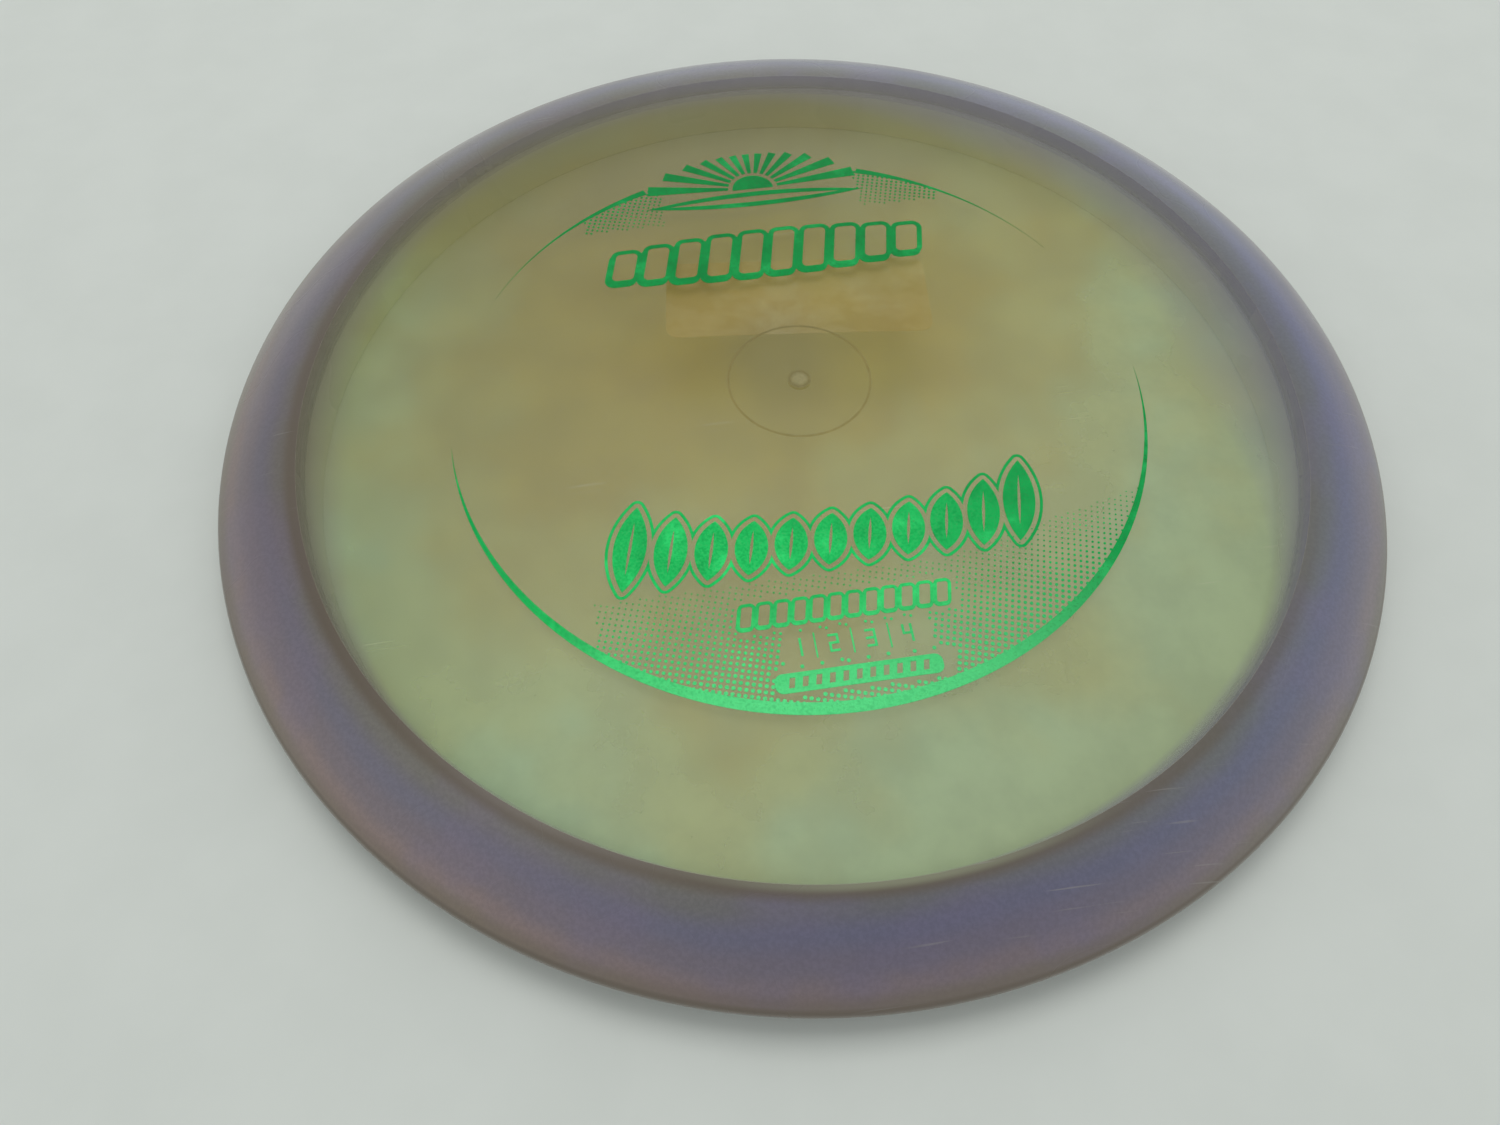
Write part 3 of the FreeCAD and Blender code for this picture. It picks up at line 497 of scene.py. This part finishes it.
# Painted see-through of the rim: its violet, as seen through the plate's edge, is painted onto the
# plate, widely on the right and far sides, hardly at all on the near side, and browner on the left.
SEE_THROUGH_FULL = 0.0899
SEE_THROUGH_LEAST = 0.0005
SEE_THROUGH_SPREAD = 0.0200
SIDE_SLOPE = 5.5
spread = ramp(plate_pearl, bearing(plate_pearl, parts), [
    (0.000, 0.46), (0.125, 0.02), (0.250, 0.00), (0.375, 0.14), (0.500, 1.00),
    (0.625, 0.88), (0.750, 0.47), (0.875, 0.36), (1.000, 0.46)])
painted_see_through_start = arithmetic(plate_pearl, "MULTIPLY_ADD", spread, -SEE_THROUGH_SPREAD, SEE_THROUGH_FULL - SEE_THROUGH_LEAST)
painted_see_through = arithmetic(plate_pearl, "DIVIDE", arithmetic(plate_pearl, "SUBTRACT", reach, painted_see_through_start),
                  arithmetic(plate_pearl, "SUBTRACT", SEE_THROUGH_FULL, painted_see_through_start), clamp=True)
side = arithmetic(plate_pearl, "MULTIPLY_ADD", parts["X"], SIDE_SLOPE, 0.5, clamp=True)
violet = ramp(plate_pearl, side, [(0.0, (0.260, 0.225, 0.165)), (0.5, (0.360, 0.335, 0.405)),
                                  (1.0, (0.300, 0.285, 0.360))], "LINEAR")
tints = blend(plate_pearl, painted_see_through, tints, violet)
wire(plate_pearl, tints, shader.inputs["Base Color"])

haze = noise(plate_pearl, place, 40.0, 4.0, 0.6)
wire(plate_pearl, ramp(plate_pearl, haze, [(0.35, 0.30), (0.75, 0.37)]), shader.inputs["Roughness"])
shader.inputs["IOR"].default_value = 1.5
shader.inputs["Alpha"].default_value = 0.43
plate.data.materials.append(plate_pearl)
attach(plate, "root")
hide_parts("flight_plate")


# ---------------------------------------------------------------- gate button and ring
# The moulding's feed mark in the middle of the underside: a short dished stub of the same plastic,
# with the fine raised line of the gate insert round it.  Both show faintly from above.

button_low, button_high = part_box("gate_button")
button_radius = button_high.x
foot = button_low.z
DIMPLE_RADIUS = 0.0011
DIMPLE_DEPTH = 0.00035
EASED = 0.00015
outline = [(button_radius * i / 4, under_height(button_radius * i / 4)) for i in range(5)]
outline += arc_points((button_radius - EASED, foot + EASED), EASED, 0.0, -90.0, 4)
outline += arc_points((DIMPLE_RADIUS + EASED, foot + EASED), EASED, -90.0, -120.0, 2)
outline += [(0.0, foot + DIMPLE_DEPTH)]
button = spun("gate_button_stub", outline, 48, closed=False)

ring_low, ring_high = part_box("gate_ring")
ring_outer = ring_high.x
ring_foot = ring_low.z
RING_LINE = 0.0004
RING_CUT = 0.00006
ring_inner = ring_outer - RING_LINE
outline = [(ring_outer, under_height(ring_outer)), (ring_outer, ring_foot + RING_CUT),
           (ring_outer - RING_CUT, ring_foot), (ring_inner + RING_CUT, ring_foot),
           (ring_inner, ring_foot + RING_CUT), (ring_inner, under_height(ring_inner))]
gate_ring = spun("gate_ring_line", outline, 120)

BUTTON_RADIUS = 0.0021
for piece, node, name, middle_tint in (
        (button, "gate_button", "button_plastic", (0.42, 0.39, 0.25)),
        (gate_ring, "gate_ring", "ring_plastic", (0.150, 0.120, 0.065))):
    material, shader = node_material(name)
    place = own_place(material)
    distance = length(material, moved(material, place, stretch=FLAT))
    outer = arithmetic(material, "MULTIPLY", distance, 1.0 / BUTTON_RADIUS)
    tint = ramp(material, outer, [(0.40, middle_tint), (0.84, (0.190, 0.155, 0.090))])
    speckle = ramp(material, noise(material, place, 900.0, 3.0), [(0.3, 0.8), (0.7, 1.15)])
    wire(material, blend(material, 1.0, tint, speckle, "MULTIPLY"), shader.inputs["Base Color"])
    shine = ramp(material, noise(material, place, 300.0, 3.0), [(0.3, 0.25), (0.7, 0.45)])
    wire(material, shine, shader.inputs["Roughness"])
    piece.data.materials.append(material)
    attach(piece, "root")
    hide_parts(node)


# ---------------------------------------------------------------- label
# A plain paper sticker with rounded corners, pressed onto the underside in front of the middle.
# Damp and age have left it blotched and tan.

LAYER_PITCH = 0.004
LAYER_MERGE = 2e-6
FACE_LEAN = 0.7


def laid_layer(node, name, seat, thickness):
    """A thin CAD layer, cut into small squares and settled on a domed face, as a finished piece.

    The layer's lower face goes to the seat's height at each point and its upper face lies one
    thickness above it.
    """
    form = bmesh.new()
    form.from_mesh(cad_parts[node].data)
    bmesh.ops.remove_doubles(form, verts=form.verts, dist=LAYER_MERGE)
    low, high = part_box(node)
    for axis, normal in ((0, (1, 0, 0)), (1, (0, 1, 0))):
        first = math.ceil(low[axis] / LAYER_PITCH)
        last = math.floor(high[axis] / LAYER_PITCH)
        for line in range(first, last + 1):
            spot = [0.0, 0.0, 0.0]
            spot[axis] = line * LAYER_PITCH
            geometry = form.verts[:] + form.edges[:] + form.faces[:]
            bmesh.ops.bisect_plane(form, geom=geometry, dist=1e-7, plane_co=spot, plane_no=normal)
    bmesh.ops.recalc_face_normals(form, faces=form.faces)
    heights = []
    for vert in form.verts:
        lean = [face.normal.z for face in vert.link_faces]
        rise = 1.0 if max(lean) > FACE_LEAN else 0.0 if min(lean) < -FACE_LEAN else 0.5
        heights.append(seat(math.hypot(vert.co.x, vert.co.y)) + rise * thickness)
    for vert, height in zip(form.verts, heights):
        vert.co.z = height
    bmesh.ops.recalc_face_normals(form, faces=form.faces)
    for face in form.faces:
        face.smooth = False
    mesh = bpy.data.meshes.new(name)
    form.to_mesh(mesh)
    form.free()
    if "custom_normal" in mesh.attributes:
        mesh.attributes.remove(mesh.attributes["custom_normal"])
    piece = bpy.data.objects.new(name, mesh)
    scene.collection.objects.link(piece)
    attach(piece, "root")
    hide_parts(node)
    return piece


LABEL_THICKNESS = 0.0001
HAIR_GAP = 0.00002
label = laid_layer("label", "paper_label",
                   lambda radius: under_height(radius) - LABEL_THICKNESS - HAIR_GAP,
                   LABEL_THICKNESS)

paper, shader = node_material("paper_tan")
place = own_place(paper)
blotch = noise(paper, moved(paper, place, stretch=(1.0, 1.3, 1.0)), 110.0, 3.0, 0.55, 0.15)
fibre = noise(paper, place, 1400.0, 4.0)
tan = ramp(paper, blotch, [(0.34, (0.70, 0.54, 0.38)), (0.50, (0.84, 0.71, 0.56)),
                           (0.68, (0.96, 0.90, 0.80))])
tan = blend(paper, arithmetic(paper, "MULTIPLY", fibre, 0.25), tan, (0.66, 0.54, 0.38))
wire(paper, tan, shader.inputs["Base Color"])
wire(paper, ramp(paper, fibre, [(0.3, 0.75), (0.7, 0.95)]), shader.inputs["Roughness"])
label.data.materials.append(paper)


# ---------------------------------------------------------------- foil stamp
# Hot-stamp foil pressed onto the crown: two fine arcs and a crescent round a half sun, a row of
# links, a row of leaves, small links, four digits and a footer bar.  It is worn and speckled.

FOIL_THICKNESS = 0.00004
foil_green, shader = node_material("foil_green")
place = own_place(foil_green)
glint = noise(foil_green, place, 2600.0, 2.0, 0.6)
streak = noise(foil_green, place, 120.0, 4.0, 0.6)
shade = ramp(foil_green, streak, [(0.30, (0.003, 0.250, 0.052)), (0.52, (0.005, 0.320, 0.068)),
                                  (0.70, (0.018, 0.450, 0.110))])
# A painted sheen makes it paler towards the crescent.
SHEEN_SLOPE = -55.0
SHEEN_START = -2.4
crescent_painted_sheen = arithmetic(foil_green, "MULTIPLY_ADD", split(foil_green, place)["Y"],
                    SHEEN_SLOPE, SHEEN_START, clamp=True)
shade = blend(foil_green, crescent_painted_sheen, shade, (0.060, 0.440, 0.150))
shade = blend(foil_green, ramp(foil_green, glint, [(0.30, 0.55), (0.50, 0.0)]), shade,
              (0.024, 0.180, 0.050))
wire(foil_green, shade, shader.inputs["Base Color"])
shader.inputs["Metallic"].default_value = 0.85
wire(foil_green, ramp(foil_green, glint, [(0.3, 0.30), (0.7, 0.48)]), shader.inputs["Roughness"])

for node in sorted(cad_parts):
    if node.startswith("foil_"):
        name = node.replace("foil_", "stamp_")
        piece = laid_layer(node, name, dome_height, FOIL_THICKNESS)
        piece.data.materials.append(foil_green)


# ---------------------------------------------------------------- halftone dots
# Fine dots of the same foil shade the lower part of the stamp, growing towards the crescent, and
# fade out beside the sun.  They stand on a square grid that is turned a little from the rows.

DOT_PITCH = 0.000985
DOT_TURN = math.radians(-16.4)
STAMP_CENTRE = Vector((-0.0010, -0.00375))
STAMP_RADIUS = 0.0614
along = Vector((math.cos(DOT_TURN), math.sin(DOT_TURN)))
across_rows = Vector((-along.y, along.x))


WING_FOOT = 0.042
WING_INNER = 0.020
WING_OUTER = 0.036
WING_START = 0.0465
FIELD_TOP = -0.0415
FIELD_BEND = 0.016
FIELD_SLOPE = 0.25
FIELD_LEFT = -0.040
FIELD_RIGHT = 0.053
EDGE_MARGIN = 0.0006
WING_LEAST = 0.00022
WING_MOST = 0.00056
WING_GROWTH = 0.024
FIELD_LEAST = 0.00024
FIELD_MOST = 0.00070
FIELD_GROWTH = 0.028
# Blank windows (left, right, low, high) round the small links, the digits and the footer bar.
WINDOWS = ((-0.0183, 0.0170, -0.0505, -0.0443),
           (-0.0120, 0.0115, -0.0565, -0.0510),
           (-0.0140, 0.0140, -0.0615, -0.0568))


def dot_diameter(x, y):
    """Diameter of the dot here, or nothing where the field is blank."""
    from_centre = (Vector((x, y)) - STAMP_CENTRE).length
    if from_centre > STAMP_RADIUS - EDGE_MARGIN:
        return 0.0
    if y > WING_FOOT and WING_INNER < abs(x) < WING_OUTER:
        depth = from_centre - WING_START
        return min(WING_MOST, WING_LEAST + WING_GROWTH * depth) if depth > 0.0 else 0.0
    depth = FIELD_TOP + max(0.0, x - FIELD_BEND) * FIELD_SLOPE - y
    if depth < 0.0 or x < FIELD_LEFT or x > FIELD_RIGHT:
        return 0.0
    for left, right, low, high in WINDOWS:
        if left < x < right and low < y < high:
            return 0.0
    return min(FIELD_MOST, FIELD_LEAST + FIELD_GROWTH * depth)


DOT_REACH = 75
DOT_SIDES = 8
form = bmesh.new()
for i in range(-DOT_REACH, DOT_REACH + 1):
    for j in range(-DOT_REACH, DOT_REACH + 1):
        spot = STAMP_CENTRE + along * (i * DOT_PITCH) + across_rows * (j * DOT_PITCH)
        diameter = dot_diameter(spot.x, spot.y)
        if diameter <= 0.0:
            continue
        height = dome_height(spot.length) + FOIL_THICKNESS / 2
        bmesh.ops.create_cone(form, cap_ends=True, segments=DOT_SIDES, radius1=diameter / 2,
                              radius2=diameter / 2, depth=FOIL_THICKNESS,
                              matrix=Matrix.Translation((spot.x, spot.y, height)))
dot_mesh = bpy.data.meshes.new("stamp_halftone_dots")
form.to_mesh(dot_mesh)
form.free()
dots = bpy.data.objects.new("stamp_halftone_dots", dot_mesh)
scene.collection.objects.link(dots)
dots.data.materials.append(foil_green)
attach(dots, "root")
